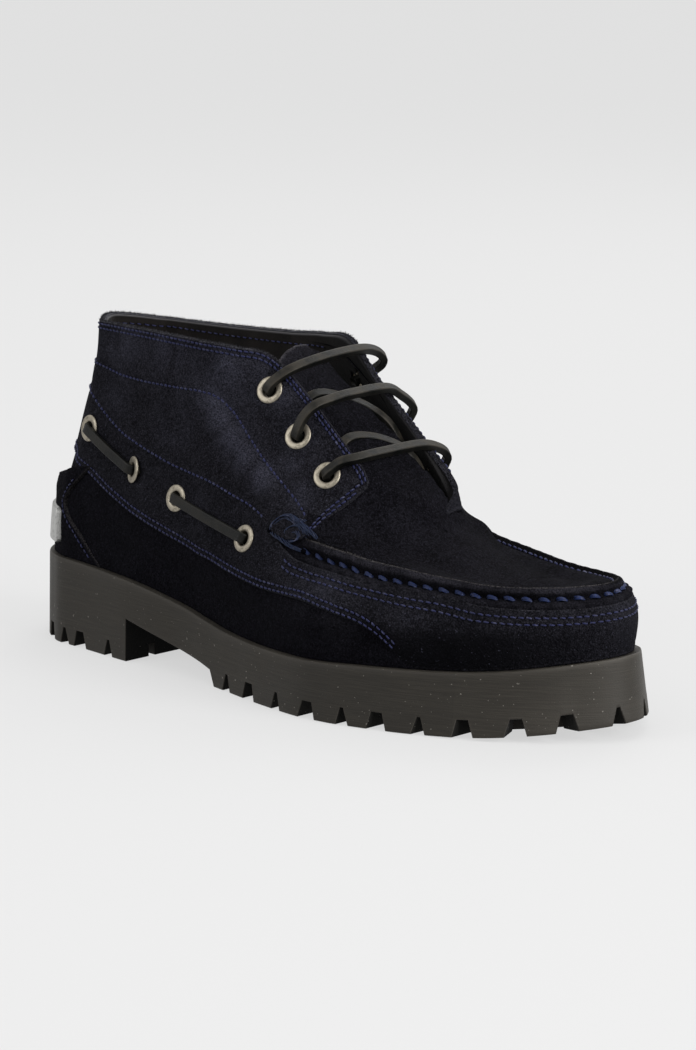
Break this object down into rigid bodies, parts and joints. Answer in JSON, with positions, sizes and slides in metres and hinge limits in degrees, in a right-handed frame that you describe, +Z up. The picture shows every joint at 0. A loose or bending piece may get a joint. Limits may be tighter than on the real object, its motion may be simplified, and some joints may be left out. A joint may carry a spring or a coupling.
{
  "type": "boat boot",
  "caption": "Right-foot ankle boat boot in dark suede with a moc-toe seam, a throat lace, side laces through eyelets and a lugged rubber sole with a heel.",
  "frame": {"origin": "on the floor under the middle of the heel, on the flat underside of the heel block", "axes": "+X from heel to toe, +Y to the boot's inner (medial) side, +Z up"},
  "size_m": [0.2964, 0.1061, 0.1307],
  "materials": {
    "rubber": "matte",
    "suede": "matte",
    "lining": "matte",
    "metal": "satin",
    "lace_leather": "satin"
  },
  "bodies": {
    "root": {"outsole": "rubber", "upper": "suede", "insole": "lining", "tongue": "suede", "heel_counter": "suede", "heel_plate": "metal", "throat_eyelet_lateral_1": "metal", "throat_eyelet_lateral_2": "metal", "throat_eyelet_lateral_3": "metal", "throat_eyelet_medial_1": "metal", "throat_eyelet_medial_2": "metal", "throat_eyelet_medial_3": "metal", "side_eyelet_lateral_1": "metal", "side_eyelet_lateral_2": "metal", "side_eyelet_lateral_3": "metal", "side_eyelet_lateral_4": "metal", "side_eyelet_medial_1": "metal", "side_eyelet_medial_2": "metal", "side_eyelet_medial_3": "metal", "side_eyelet_medial_4": "metal", "lace": "lace_leather", "side_lace_lateral_1": "lace_leather", "side_lace_lateral_2": "lace_leather", "side_lace_medial_1": "lace_leather", "side_lace_medial_2": "lace_leather"}
  },
  "joints": []
}
